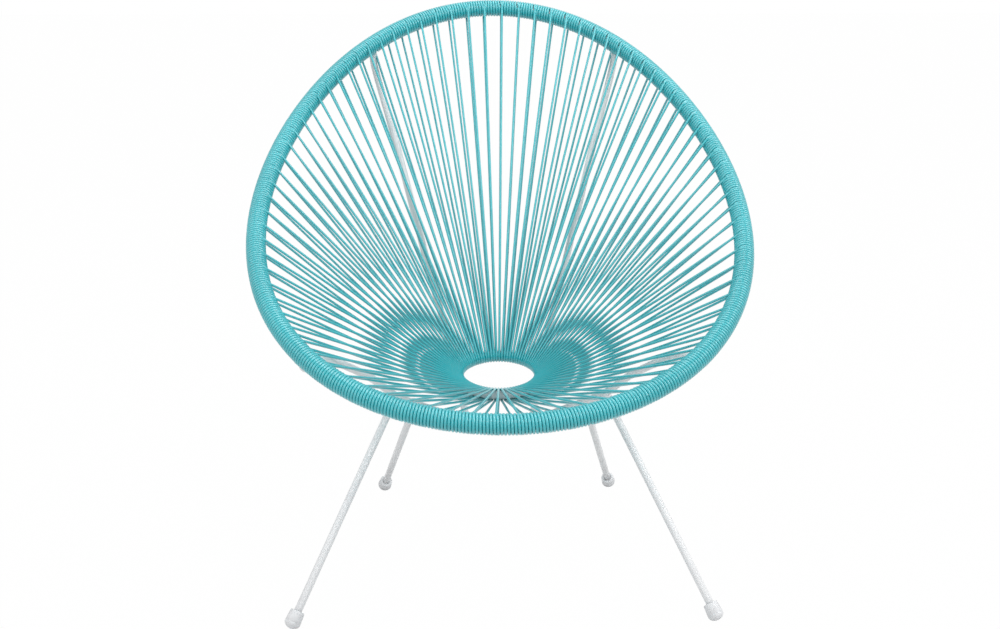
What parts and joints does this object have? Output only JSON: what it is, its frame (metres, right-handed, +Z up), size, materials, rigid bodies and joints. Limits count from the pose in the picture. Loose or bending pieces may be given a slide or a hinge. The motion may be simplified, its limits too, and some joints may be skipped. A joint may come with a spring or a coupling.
{
  "type": "acapulco chair",
  "caption": "Low round lounge chair: egg-shaped hoop wound with cord, cords drawn to a small ring as the seat, bent steel rods below and splayed rod legs with foot caps.",
  "frame": {"origin": "on the floor below the middle of the chair's overall box", "axes": "+X to the chair's right seen from the front, +Y from the sitter's knees to the back, +Z up; the sitter faces -Y"},
  "size_m": [0.7293, 0.781, 0.8451],
  "materials": {
    "frame_coat": "white powder coat, satin",
    "seat_cord": "turquoise round vinyl cord, satin gloss",
    "foot_cap": "white moulded plastic, matte",
    "fastener": "zinc plated steel"
  },
  "bodies": {
    "root": {"seat_hoop": "frame_coat", "seat_cradle": "frame_coat", "back_bar_right": "frame_coat", "back_bar_left": "frame_coat", "seat_ring": "frame_coat", "seat_cord_back": "seat_cord", "seat_cord_back_right": "seat_cord", "seat_cord_side_right": "seat_cord", "seat_cord_front_right": "seat_cord", "seat_cord_front": "seat_cord", "seat_cord_front_left": "seat_cord", "seat_cord_side_left": "seat_cord", "seat_cord_back_left": "seat_cord", "foot_cap_front_right": "foot_cap", "leg_front_right": "frame_coat", "leg_socket_front_right": "frame_coat", "bolt_front_right": "fastener", "washer_front_right": "fastener", "nut_front_right": "fastener", "foot_cap_front_left": "foot_cap", "leg_front_left": "frame_coat", "leg_socket_front_left": "frame_coat", "bolt_front_left": "fastener", "washer_front_left": "fastener", "nut_front_left": "fastener", "foot_cap_rear_right": "foot_cap", "leg_rear_right": "frame_coat", "leg_socket_rear_right": "frame_coat", "bolt_rear_right": "fastener", "washer_rear_right": "fastener", "nut_rear_right": "fastener", "foot_cap_rear_left": "foot_cap", "leg_rear_left": "frame_coat", "leg_socket_rear_left": "frame_coat", "bolt_rear_left": "fastener", "washer_rear_left": "fastener", "nut_rear_left": "fastener"}
  },
  "joints": []
}
